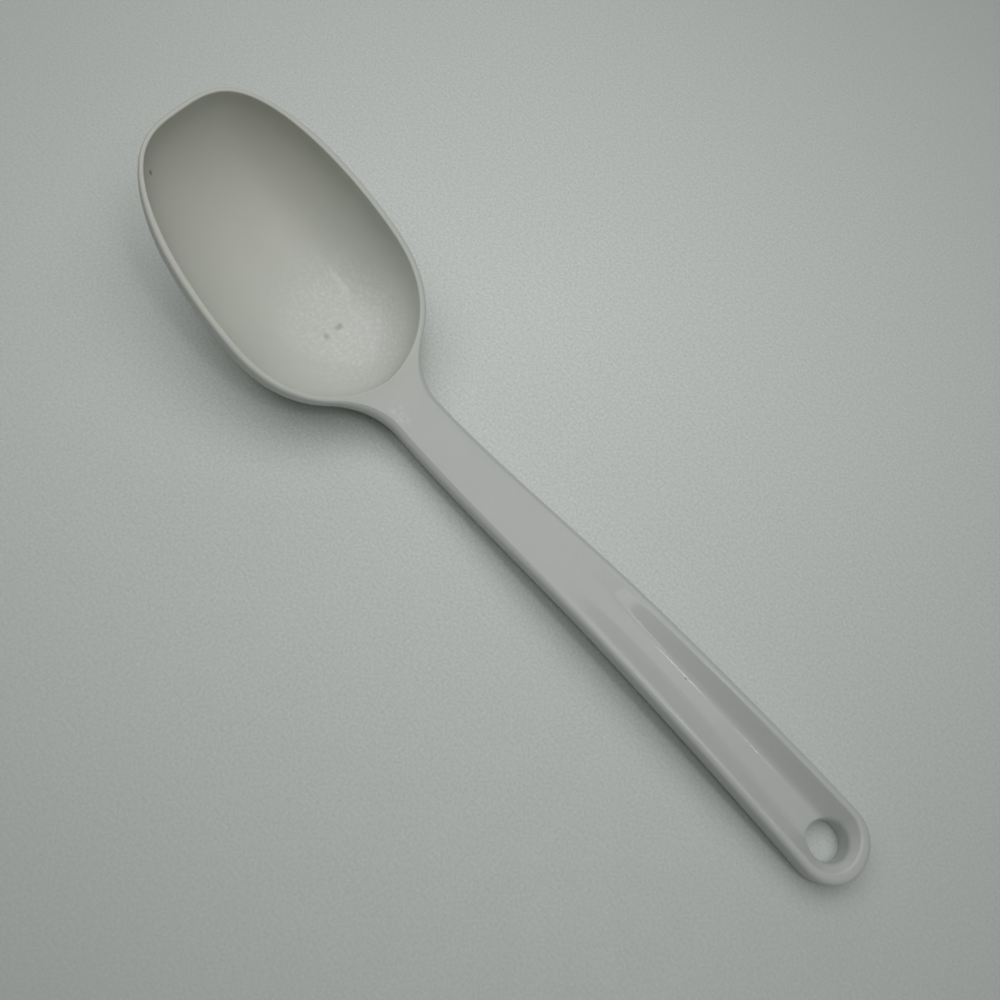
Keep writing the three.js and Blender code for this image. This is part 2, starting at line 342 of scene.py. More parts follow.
def top_rise(x, across):
    """Rise of the top at a distance from the middle line: a crown at the neck, a trough towards the end."""
    slope = TROUGH_DEPTH * trough_growth(x) / (wall_top(x) - floor_edge(x))
    wall = soft_positive(wall_top(x) - across, RIB_EDGE_SOFTNESS)
    floor = soft_positive(floor_edge(x) - across, CREASE_SOFTNESS)
    crown = NECK_CROWN * smoothstep(x, NECK_ROOT.x, NECK_END_X) * (1 - smoothstep(x, DIP_X, ARCH_X))
    return crown * (1 - (across / half_width(x)) ** 2) - slope * (wall - floor)


def top_lane_place(x, lane):
    """Distance of a top lane from the middle line. Lanes crowd at the creases and the ribs' inner edges."""
    stops = (
        (0, 0),
        (CREASE_LANE - 1, floor_edge(x) - CREASE_SOFTNESS),
        (CREASE_LANE, floor_edge(x)),
        (CREASE_LANE + 1, floor_edge(x) + CREASE_SOFTNESS),
        (TROUGH_LANES, wall_top(x) - RIB_EDGE_SOFTNESS),
        (TROUGH_LANES + 1, wall_top(x)),
        (TROUGH_LANES + 2, wall_top(x) + RIB_EDGE_SOFTNESS),
        (NECK_SPOKES, half_width(x) - EDGE_ROUND),
    )
    for (low_lane, low), (high_lane, high) in zip(stops, stops[1:]):
        if lane <= high_lane:
            return lerp(low, high, (lane - low_lane) / (high_lane - low_lane))


def under_lane_place(foot, lane):
    """Distance of an underside lane from the middle line. The outer lanes leave room for the hole."""
    inner = UNDER_LANE_SHARE * foot
    if lane <= TROUGH_LANES:
        return inner * lane / TROUGH_LANES
    return lerp(inner, foot, (lane - TROUGH_LANES) / (NECK_SPOKES - TROUGH_LANES))


def half_section(x):
    """Right half of the handle's section as (across, height over the top edges): top, side, underside."""
    half = half_width(x)
    thickness = along_handle(x, NECK_THICKNESS, END_THICKNESS)
    top = []
    for lane in range(NECK_SPOKES + 1):
        across = top_lane_place(x, lane)
        top.append((across, top_rise(x, across)))
    side = []
    for step in range(1, ROUND_STEPS + 1):
        turn = math.pi / 2 * step / ROUND_STEPS
        side.append((half - EDGE_ROUND * (1 - math.sin(turn)), -EDGE_ROUND * (1 - math.cos(turn))))
    foot = half - SIDE_DRAFT - UNDERSIDE_ROUND
    foot_steps = WALL_STEPS - 1
    side.append((half - SIDE_DRAFT / 2, -thickness / 2))
    for step in range(foot_steps):
        turn = math.pi / 2 * step / foot_steps
        across = foot + UNDERSIDE_ROUND * math.cos(turn)
        side.append((across, UNDERSIDE_ROUND * (1 - math.sin(turn)) - thickness))
    under = [(under_lane_place(foot, lane), -thickness) for lane in range(NECK_SPOKES, -1, -1)]
    return top, side, under


def handle_section(x):
    """Closed section of the handle in strand order: over the top, down the right, below, up the left."""
    top, side, under = half_section(x)
    mirror = [(-across, height) for across, height in reversed(top[1:])]
    over = mirror + top
    below = under + [(-across, height) for across, height in reversed(under[:-1])]
    left = [(-across, height) for across, height in reversed(side)]
    return over + side + below + left


def handle_point(x, across, height):
    return on_table(x, across, top_height(x) + height)


# Strands of the closed section, counted as handle_section lists them
TOP_COUNT = len(TOP_LANES)
STRANDS = 2 * TOP_COUNT + 2 * SIDE_LANES


def top_strand(lane):
    return lane + NECK_SPOKES


def under_strand(lane):
    return TOP_COUNT + SIDE_LANES + NECK_SPOKES - lane


# Modelling helpers for edit mode
def edit_bmesh(piece):
    bm = bmesh.from_edit_mesh(piece.data)
    bm.verts.ensure_lookup_table()
    return bm


def select_edges(piece, wanted):
    """Select the edges that a test accepts, and nothing else."""
    bpy.ops.mesh.select_all(action="DESELECT")
    bm = edit_bmesh(piece)
    for edge in bm.edges:
        if wanted(edge):
            edge.select_set(True)
    bm.select_flush_mode()
    bmesh.update_edit_mesh(piece.data)


def place_selected(piece, label, place):
    """Move each selected vertex to the place for its label."""
    bm = edit_bmesh(piece)
    tag = bm.verts.layers.int[label]
    for vertex in bm.verts:
        if vertex.select:
            vertex.co = place(vertex[tag])
    bmesh.update_edit_mesh(piece.data)


def draw_ring(piece, label, place):
    """Extrude the selected edges and put the new ones in place. New vertices keep the labels of the old."""
    bpy.ops.mesh.extrude_edges_indiv()
    place_selected(piece, label, place)


def label_selected(piece, label, value):
    bm = edit_bmesh(piece)
    tag = bm.verts.layers.int[label]
    for vertex in bm.verts:
        if vertex.select:
            vertex[tag] = value
    bmesh.update_edit_mesh(piece.data)


# Spoon skin
def start_bowl():
    """A circle on the bowl's floor, with a label on each spoke."""
    bpy.ops.object.select_all(action="DESELECT")
    bpy.ops.mesh.primitive_circle_add(vertices=SPOKES, radius=BOWL_HALF_WIDTH * FLOOR_SHARE)
    piece = bpy.context.object
    piece.name = "spoon_moulding"
    bpy.ops.object.mode_set(mode="EDIT")
    bm = edit_bmesh(piece)
    for label in ("spoke", "level", "strand", "turn"):
        bm.verts.layers.int.new(label)
    spoke = bm.verts.layers.int["spoke"]
    for vertex in bm.verts:
        angle = math.atan2(vertex.co.y, vertex.co.x) % (2 * math.pi)
        vertex[spoke] = round(angle / (2 * math.pi) * SPOKES) % SPOKES
        for label in ("level", "strand", "turn"):
            vertex[bm.verts.layers.int[label]] = NO_LABEL
    bmesh.update_edit_mesh(piece.data)
    bpy.ops.mesh.select_all(action="SELECT")
    return piece


def draw_bowl(piece, rings):
    for level, ring in enumerate(rings):
        if level == 0:
            place_selected(piece, "spoke", lambda spoke: bowl_point(spoke, ring))
        else:
            draw_ring(piece, "spoke", lambda spoke: bowl_point(spoke, ring))
        label_selected(piece, "level", level)


def seat_on_bowl(vertex, grow, floor_depth):
    """Put a vertex of a floor patch on the bowl's surface, found along its own spoke."""
    back = Matrix.Rotation(-BOWL_TILT, 3, "Y")
    flat = back @ (vertex.co - Vector((BOWL_WIDEST_X, 0, BOWL_RAISE)))
    angle = math.atan2(flat.y, flat.x) % (2 * math.pi)
    low, high = 0.0, 2 * math.pi
    for _ in range(HALVINGS):
        middle = (low + high) / 2
        edge = bowl_outline(middle, grow)
        if math.atan2(edge.y, edge.x) % (2 * math.pi) < angle:
            low = middle
        else:
            high = middle
    spread = flat.xy.length / bowl_outline(low, grow).length
    flat.z = -wall_depth(spread, floor_depth)
    seated = Matrix.Rotation(BOWL_TILT, 3, "Y") @ flat
    vertex.co = on_table(seated.x, seated.y, seated.z + BOWL_RAISE)


def fill_floor(piece, level, grow, floor_depth):
    """Close one end of the bowl's wall with a grid of quads that lies on the bowl's surface."""
    bm = edit_bmesh(piece)
    tag = bm.verts.layers.int["level"]
    old_count = len(bm.verts)
    select_edges(piece, lambda edge: edge.is_boundary and all(v[tag] == level for v in edge.verts))
    bpy.ops.mesh.fill_grid(span=SPOKES // 4)
    bm = edit_bmesh(piece)
    tag = bm.verts.layers.int["level"]
    for vertex in bm.verts[old_count:]:
        vertex[tag] = NO_LABEL
        seat_on_bowl(vertex, grow, floor_depth)
    bmesh.update_edit_mesh(piece.data)


def spoke_lane(spoke):
    """Spoke number counted both ways from the neck."""
    return spoke if spoke <= SPOKES // 2 else spoke - SPOKES


def open_neck(piece, neck_top, neck_bottom):
    """Delete the bowl's outer wall where the neck leaves it, and label the open edge as strands."""
    bpy.ops.mesh.select_mode(type="FACE")
    bpy.ops.mesh.select_all(action="DESELECT")
    bm = edit_bmesh(piece)
    spoke, level = bm.verts.layers.int["spoke"], bm.verts.layers.int["level"]
    for face in bm.faces:
        lanes = [abs(spoke_lane(v[spoke])) for v in face.verts]
        levels = [v[level] for v in face.verts]
        if max(lanes) <= NECK_SPOKES and min(levels) >= neck_top and max(levels) <= neck_bottom:
            face.select_set(True)
    bmesh.update_edit_mesh(piece.data)
    bpy.ops.mesh.delete(type="FACE")
    bpy.ops.mesh.select_mode(type="VERT")
    bm = edit_bmesh(piece)
    spoke, level = bm.verts.layers.int["spoke"], bm.verts.layers.int["level"]
    strand = bm.verts.layers.int["strand"]
    for edge in bm.edges:
        for vertex in edge.verts if edge.is_boundary else ():
            lane, row = spoke_lane(vertex[spoke]), vertex[level] - neck_top
            if row == 0:
                vertex[strand] = top_strand(lane)
            elif vertex[level] == neck_bottom:
                vertex[strand] = under_strand(lane)
            elif lane > 0:
                vertex[strand] = top_strand(NECK_SPOKES) + row
            else:
                vertex[strand] = STRANDS - row
    bmesh.update_edit_mesh(piece.data)


def fillet_path(start, leave, end, arrive):
    """Points of a smooth curve that leaves along one direction and arrives along another."""
    pull = FILLET_PULL * (end - start).length
    first, last = leave.normalized() * pull, arrive.normalized() * pull
    points = []
    for step in range(1, FILLET_RINGS + 1):
        t = step / FILLET_RINGS
        points.append(
            start * (2 * t ** 3 - 3 * t ** 2 + 1)
            + first * (t ** 3 - 2 * t ** 2 + t)
            + end * (3 * t ** 2 - 2 * t ** 3)
            + last * (t ** 3 - t ** 2)
        )
    return points


def draw_neck(piece, rings, neck_top, neck_bottom):
    """Draw the neck out of the bowl's wall, with a fillet all round, up to where its sides run straight."""
    bm = edit_bmesh(piece)
    spoke, level = bm.verts.layers.int["spoke"], bm.verts.layers.int["level"]
    strand = bm.verts.layers.int["strand"]
    start_x, ahead = NECK_END_X, MM
    here, there = handle_section(start_x), handle_section(start_x + ahead)
    paths = {}
    for vertex in bm.verts:
        if vertex[strand] == NO_LABEL:
            continue
        lane, row, number = spoke_lane(vertex[spoke]), vertex[level], vertex[strand]
        sideways = (bowl_point(lane - math.copysign(1, lane), rings[row]) - vertex.co).normalized()
        leave = sideways
        if row in (neck_top, neck_bottom):
            straight = (vertex.co - bowl_point(lane, rings[row - 1])).normalized()
            turn = math.pi / 2 * abs(lane) / NECK_SPOKES
            outwards = straight if row == neck_top else -straight
            leave = outwards * math.cos(turn) + sideways * math.sin(turn)
        end = handle_point(start_x, *here[number])
        arrive = handle_point(start_x + ahead, *there[number]) - end
        paths[number] = fillet_path(vertex.co.copy(), leave, end, arrive)
    select_edges(piece, lambda edge: edge.is_boundary)
    for step in range(FILLET_RINGS):
        draw_ring(piece, "strand", lambda number: paths[number][step])


def draw_handle(piece, end_x):
    steps = round((end_x - NECK_END_X) / HANDLE_STEP)
    for step in range(1, steps + 1):
        x = lerp(NECK_END_X, end_x, step / steps)
        section = handle_section(x)
        draw_ring(piece, "strand", lambda number: handle_point(x, *section[number]))


def eye_stations():
    """Places along the U of the round end, as (section x, swing): left side, round the end, right side."""
    start_x = EYE_X - EYE_SIDE_STEPS * HANDLE_STEP
    straight = [lerp(start_x, EYE_X, step / EYE_SIDE_STEPS) for step in range(EYE_SIDE_STEPS + 1)]
    left = [(x, 0) for x in straight]
    swing = [(EYE_X, math.pi * step / EYE_SWING_STEPS) for step in range(1, EYE_SWING_STEPS)]
    right = [(x, math.pi) for x in reversed(straight)]
    return left + swing + right


def eye_point(station, across, height):
    x, swing = station
    reach = abs(across)
    if x < EYE_X:
        return handle_point(x, math.copysign(reach, -math.cos(swing)), height)
    if height > -EDGE_ROUND:
        rib_edge = half_width(EYE_X) - EDGE_ROUND
        share = clamp((rib_edge - reach) / (rib_edge - wall_top(EYE_X)), 0, 1)
        reach -= RIB_GAIN_ROUND_EYE * math.sin(swing) * share
    return handle_point(EYE_X + reach * math.sin(swing), -reach * math.cos(swing), height)


def label_turns(piece, station_number, stations):
    """Number the inner edges of the U round the hole, for the top and for the underside."""
    bm = edit_bmesh(piece)
    strand, turn = bm.verts.layers.int["strand"], bm.verts.layers.int["turn"]
    middle = (len(stations) - 1) // 2
    for vertex in bm.verts:
        if vertex.select:
            edges = (top_strand(-TROUGH_LANES), under_strand(-TROUGH_LANES))
            inner = vertex[strand] in edges
            vertex[turn] = (station_number - middle) % EYE_TURNS if inner else NO_LABEL
    bmesh.update_edit_mesh(piece.data)


def draw_eye_band(piece):
    """Carry the left rib, side and underside edge round the end until they meet those on the right."""
    stations = eye_stations()
    bm = edit_bmesh(piece)
    strand, turn = bm.verts.layers.int["strand"], bm.verts.layers.int["turn"]
    for vertex in bm.verts:
        if vertex.select:
            for lane in range(-TROUGH_LANES, TROUGH_LANES + 1):
                if vertex[strand] in (top_strand(lane), under_strand(lane)):
                    vertex[turn] = EYE_TURNS // 2 - lane
    band = set(range(top_strand(-NECK_SPOKES), top_strand(-TROUGH_LANES) + 1))
    band |= set(range(under_strand(-TROUGH_LANES), STRANDS))
    end_ring = {vertex.index for vertex in bm.verts if vertex.select}

    def in_band(vertex):
        return vertex.index in end_ring and vertex[strand] in band

    select_edges(piece, lambda edge: edge.is_boundary and all(in_band(v) for v in edge.verts))
    for number, station in enumerate(stations[1:], start=1):
        section = handle_section(station[0])
        draw_ring(piece, "strand", lambda index: eye_point(station, *section[index]))
        label_turns(piece, number, stations)
    bpy.ops.mesh.select_all(action="SELECT")
    bpy.ops.mesh.remove_doubles(threshold=MERGE_DISTANCE)


def top_place(x, y):
    if x < EYE_X:
        return handle_point(x, y, top_rise(x, abs(y)))
    reach = math.hypot(x - EYE_X, y)
    across = reach + RIB_GAIN_ROUND_EYE * (x - EYE_X) / max(reach, MM)
    return handle_point(x, y, top_rise(EYE_X, across))


def under_place(x, y):
    return handle_point(x, y, -along_handle(x, NECK_THICKNESS, END_THICKNESS))


def draw_hole(piece):
    """Draw the open edge of the trough in to the hole, down its wall and out again to the underside."""
    bm = edit_bmesh(piece)
    turn, strand = bm.verts.layers.int["turn"], bm.verts.layers.int["strand"]
    edges = {"top": {}, "under": {}}
    for edge in bm.edges:
        for vertex in edge.verts if edge.is_boundary else ():
            side = "top" if vertex[strand] < TOP_COUNT else "under"
            edges[side][vertex[turn]] = Vector((vertex.co.x - BOWL_WIDEST_X, vertex.co.y))

    def hole_place(number, radius):
        angle = 2 * math.pi * number / EYE_TURNS
        return Vector((HOLE_X + radius * math.cos(angle), radius * math.sin(angle)))

    def on_ring(side, share):
        seat = top_place if side == "top" else under_place
        mouth = HOLE_RADIUS + HOLE_EDGE_ROUND

        def place(number):
            plan = edges[side][number].lerp(hole_place(number, mouth), share)
            return seat(plan.x, plan.y)

        return place

    def on_wall(side, step):
        seat, sink = (top_place, -1) if side == "top" else (under_place, 1)
        turned = math.pi / 2 * step / ROUND_STEPS

        def place(number):
            plan = hole_place(number, HOLE_RADIUS + HOLE_EDGE_ROUND * (1 - math.sin(turned)))
            edge = seat(plan.x, plan.y)
            edge.z += sink * HOLE_EDGE_ROUND * (1 - math.cos(turned))
            return edge

        return place

    select_edges(piece, lambda edge: edge.is_boundary and all(v[strand] < TOP_COUNT for v in edge.verts))
    for ring in range(1, EYE_RINGS + 1):
        draw_ring(piece, "turn", on_ring("top", ring / EYE_RINGS))
    for step in range(1, ROUND_STEPS + 1):
        draw_ring(piece, "turn", on_wall("top", step))
    for step in range(ROUND_STEPS, -1, -1):
        draw_ring(piece, "turn", on_wall("under", step))
    for ring in range(EYE_RINGS - 1, -1, -1):
        draw_ring(piece, "turn", on_ring("under", ring / EYE_RINGS))
    bpy.ops.mesh.select_all(action="SELECT")
    bpy.ops.mesh.remove_doubles(threshold=MERGE_DISTANCE)


def make_spoon():
    rings, neck_top, neck_bottom = bowl_rings()
    piece = start_bowl()
    draw_bowl(piece, rings)
    fill_floor(piece, 0, 0, BOWL_DEPTH)
    fill_floor(piece, len(rings) - 1, WALL, OUTER_DEPTH)
    open_neck(piece, neck_top, neck_bottom)
    draw_neck(piece, rings, neck_top, neck_bottom)
    draw_handle(piece, eye_stations()[0][0])
    draw_eye_band(piece)
    draw_hole(piece)
    bpy.ops.mesh.select_all(action="SELECT")
    bpy.ops.mesh.normals_make_consistent(inside=False)
    bpy.ops.object.mode_set(mode="OBJECT")
    smooth = piece.modifiers.new("smooth", "SUBSURF")
    smooth.levels = smooth.render_levels = SKIN_SUBDIVISIONS
    bpy.ops.object.modifier_apply(modifier=smooth.name)
    bpy.ops.object.shade_smooth()
    return piece


# Nodes
def feed(tree, socket, value):
    """Link a node's output to an input, or set the input's own value."""
    if isinstance(value, bpy.types.NodeSocket):
        tree.links.new(value, socket)
    else:
        socket.default_value = value


def add_node(tree, kind, settings, **sockets):
    """Add a node with its settings. Each named input takes a value, or a link from a node's output."""
    node = tree.nodes.new(kind)
    for name, value in settings.items():
        setattr(node, name, value)
    for name, value in sockets.items():
        feed(tree, node.inputs[name.replace("_", " ")], value)
    return node


def calculate(tree, operation, first, second):
    """A Math node's result."""
    node = tree.nodes.new("ShaderNodeMath")
    node.operation = operation
    for socket, value in zip(node.inputs, (first, second)):
        feed(tree, socket, value)
    return node.outputs[0]


def remap(tree, value, from_low, from_high, to_low, to_high):
    node = add_node(
        tree, "ShaderNodeMapRange", {},
        Value=value, From_Min=from_low, From_Max=from_high, To_Min=to_low, To_Max=to_high,
    )
    return node.outputs["Result"]


def tint(tree, mask, under, over):
    """Colour that goes from one to the other where the mask is 1."""
    node = tree.nodes.new("ShaderNodeMixRGB")
    for socket, value in zip(node.inputs, (mask, under, over)):
        feed(tree, socket, value)
    return node.outputs["Color"]


def new_group(name, inputs, output):
    """A shader node group with a Vector, named numbers as inputs, and one number as its output."""
    group = bpy.data.node_groups.new(name, "ShaderNodeTree")
    group.interface.new_socket("Vector", in_out="INPUT", socket_type="NodeSocketVector")
    for socket_name in inputs:
        group.interface.new_socket(socket_name, in_out="INPUT", socket_type="NodeSocketFloat")
    group.interface.new_socket(output, in_out="OUTPUT", socket_type="NodeSocketFloat")
    return group, group.nodes.new("NodeGroupInput").outputs, group.nodes.new("NodeGroupOutput").inputs


# Where a mottle's noise is low and high, where a speck starts to fade, and the width of a streak's edge
NOISE_LOW = 0.3
NOISE_HIGH = 0.7
SPECK_CORE = 0.5
STREAK_EDGE = 0.06


def mottle_group():
    """Cloudy variation of a value between two limits, with clouds of a given size."""
    group, given, made = new_group("mottle", ("Cloud", "Low", "High"), "Value")
    scale = calculate(group, "DIVIDE", 1, given["Cloud"])
    clouds = add_node(
        group, "ShaderNodeTexNoise", {}, Vector=given["Vector"], Scale=scale, Detail=3, Roughness=0.6,
    )
    value = remap(group, clouds.outputs["Fac"], NOISE_LOW, NOISE_HIGH, given["Low"], given["High"])
    group.links.new(value, made["Value"])
    return group


def peel_group():
    """Height of a surface with a shallow waviness and a finer grain on it."""
    group, given, made = new_group("peel", ("Wave", "Grain", "Grain Share"), "Height")
    heights = []
    for size in ("Wave", "Grain"):
        scale = calculate(group, "DIVIDE", 1, given[size])
        noise = add_node(group, "ShaderNodeTexNoise", {}, Vector=given["Vector"], Scale=scale, Detail=1)
        heights.append(noise.outputs["Fac"])
    grain = calculate(group, "MULTIPLY", heights[1], given["Grain Share"])
    group.links.new(calculate(group, "ADD", heights[0], grain), made["Height"])
    return group


def specks_group():
    """Mask of small round specks, each in its own cell. Only a share of the cells has one."""
    group, given, made = new_group("specks", ("Spacing", "Size", "Share"), "Mask")
    scale = calculate(group, "DIVIDE", 1, given["Spacing"])
    cells = add_node(group, "ShaderNodeTexVoronoi", {}, Vector=given["Vector"], Scale=scale)
    chance = add_node(group, "ShaderNodeSeparateColor", {}, Color=cells.outputs["Color"])
    reach = calculate(group, "MULTIPLY", cells.outputs["Distance"], given["Spacing"])
    radius = calculate(group, "MULTIPLY", given["Size"], chance.outputs["Green"])
    dot = remap(group, calculate(group, "DIVIDE", reach, radius), SPECK_CORE, 1, 1, 0)
    present = calculate(group, "LESS_THAN", chance.outputs["Red"], given["Share"])
    group.links.new(calculate(group, "MULTIPLY", dot, present), made["Mask"])
    return group


MOTTLE = mottle_group()
PEEL = peel_group()
SPECKS = specks_group()


def use_group(tree, group, **sockets):
    return add_node(tree, "ShaderNodeGroup", {"node_tree": group}, **sockets).outputs[0]


def blot(tree, vector, place, size):
    """Mask that fades from 1 at a place to 0 at its size along X, Y and Z."""
    moved = add_node(
        tree, "ShaderNodeMapping", {"vector_type": "TEXTURE"}, Vector=vector, Location=place, Scale=size,
    )
    ball = add_node(
        tree, "ShaderNodeTexGradient", {"gradient_type": "SPHERICAL"}, Vector=moved.outputs["Vector"],
    )
    return ball.outputs["Fac"]


def patch(tree, vector, spot, edge, strength):
    """Mask of a mark, which reaches its strength over a share of its size from its edge."""
    return remap(tree, blot(tree, vector, *spot), 0, edge, 0, strength)


def ragged_place(tree, place):
    """Coordinates that waver a little, for marks with an uneven outline."""
    wobble = add_node(tree, "ShaderNodeTexNoise", {}, Vector=place, Scale=1 / WOBBLE_SIZE, Detail=2)
    shift = add_node(
        tree, "ShaderNodeVectorMath", {"operation": "MULTIPLY_ADD"}, Vector=wobble.outputs["Color"],
    )
    shift.inputs[1].default_value = (WOBBLE_REACH, WOBBLE_REACH, 0)
    tree.links.new(place, shift.inputs[2])
    return shift.outputs["Vector"]


def streaks(tree, vector, turn, length, width, rarity):
    """Mask of fine straight streaks that run along one direction."""
    moved = add_node(
        tree, "ShaderNodeMapping", {"vector_type": "TEXTURE"},
        Vector=vector, Rotation=(0, 0, turn), Scale=(length, width, length),
    )
    noise = add_node(tree, "ShaderNodeTexNoise", {}, Vector=moved.outputs["Vector"], Scale=1, Detail=0)
    return remap(tree, noise.outputs["Fac"], rarity, rarity + STREAK_EDGE, 0, 1)


# Materials
def make_material(name):
    material = bpy.data.materials.new(name)
    material.use_nodes = True
    tree = material.node_tree
    coordinates = tree.nodes.new("ShaderNodeTexCoord")
    return material, tree, tree.nodes["Principled BSDF"], coordinates.outputs["Object"]


def set_surface(tree, shader, colour, roughness, height, bump_depth, bump_strength):
    bump = add_node(tree, "ShaderNodeBump", {}, Height=height, Distance=bump_depth, Strength=bump_strength)
    tree.links.new(colour, shader.inputs["Base Color"])
    tree.links.new(roughness, shader.inputs["Roughness"])
    tree.links.new(bump.outputs["Normal"], shader.inputs["Normal"])


# Colours
PLASTIC = (0.585, 0.61, 0.588, 1)
PLASTIC_CLOUD = (0.563, 0.587, 0.564, 1)
PLASTIC_GRAIN = (0.535, 0.556, 0.533, 1)
# Warm food tint inside the bowl, partly real and partly painted light: its paleness stands in for light
# bounced round the bowl
FOOD_TINT_AND_PAINTED_BOUNCE = (0.635, 0.653, 0.575, 1)
# Painted light: paler colour for the lit walls of the bowl's heel
HEEL_PAINTED_LIGHT = (0.74, 0.765, 0.715, 1)
# Painted shade: darker colour for the shaded inside of the tip
TIP_PAINTED_SHADE = (0.575, 0.588, 0.52, 1)
# Painted glints: pale flecks that stand in for a lamp's reflections
PAINTED_GLINT = (0.86, 0.89, 0.85, 1)
STAIN = (0.3, 0.3, 0.23, 1)
DARK_SPECK = (0.12, 0.115, 0.1, 1)
DUST = (0.3, 0.3, 0.27, 1)
TABLE = (0.455, 0.491, 0.465, 1)
TABLE_CLOUD = (0.435, 0.471, 0.445, 1)
# Painted pool of light in the middle of the table
TABLE_PAINTED_LIGHT_POOL = (0.86, 0.908, 0.87, 1)
TABLE_GRAIN = (0.46, 0.493, 0.47, 1)
TABLE_SPECK = (0.3, 0.32, 0.3, 1)

# Shares of the thinner marks and of the painted glints, of a scratch in roughness and height, and of the
# coat over the plastic
PAINTED_GLINT_SHARE = 0.38
DUST_SHARE = 0.22
TABLE_SPECK_SHARE = 0.3
SCRATCH_ROUGHNESS = 0.14
SCRATCH_HEIGHT = 0.35
COAT = 0.4

# Uneven outlines of the stains
WOBBLE_SIZE = 1.6 * MM
WOBBLE_REACH = 1.2 * MM

# Marks of use, painted light and painted shade on the spoon, as (place, size along X, Y and Z)
BOWL_TINT = (Vector((-106, 0, 30)) * MM, Vector((76, 60, 50)) * MM)
# Heel patch of real gloss in the coat and of painted glints
GLOSSY_HEEL_AND_PAINTED_GLINTS = (Vector((-76, 8, 6)) * MM, Vector((31, 24, 16)) * MM)
# Painted glint on the neck's left shoulder
PAINTED_GLINT_NECK = (Vector((-40.3, -4.4, 13.3)) * MM, Vector((5, 3, 4)) * MM)
# Painted light on the walls of the heel
HEEL_PAINTED_LIGHT_PLACE = (Vector((-69, 10, 12)) * MM, Vector((30, 36, 22)) * MM)
# Painted shade inside the tip
TIP_PAINTED_SHADE_PLACE = (Vector((-126, 0, 36)) * MM, Vector((46, 44, 40)) * MM)
WORN_FLOOR = (Vector((-78, 2, 4)) * MM, Vector((30, 24, 12)) * MM)
STAINS = (
    (Vector((-78.5, 0.5, 3)) * MM, Vector((1.5, 1.4, 3)) * MM),
    (Vector((-78.5, 5.6, 3.2)) * MM, Vector((1.3, 2, 3)) * MM),
)
DARK_SPECKS = (
    (Vector((-135.4, -15.5, 39.2)) * MM, Vector((0.8, 0.7, 1)) * MM),
    (Vector((72.6, 1.8, 12)) * MM, Vector((0.4, 0.4, 2)) * MM),
)


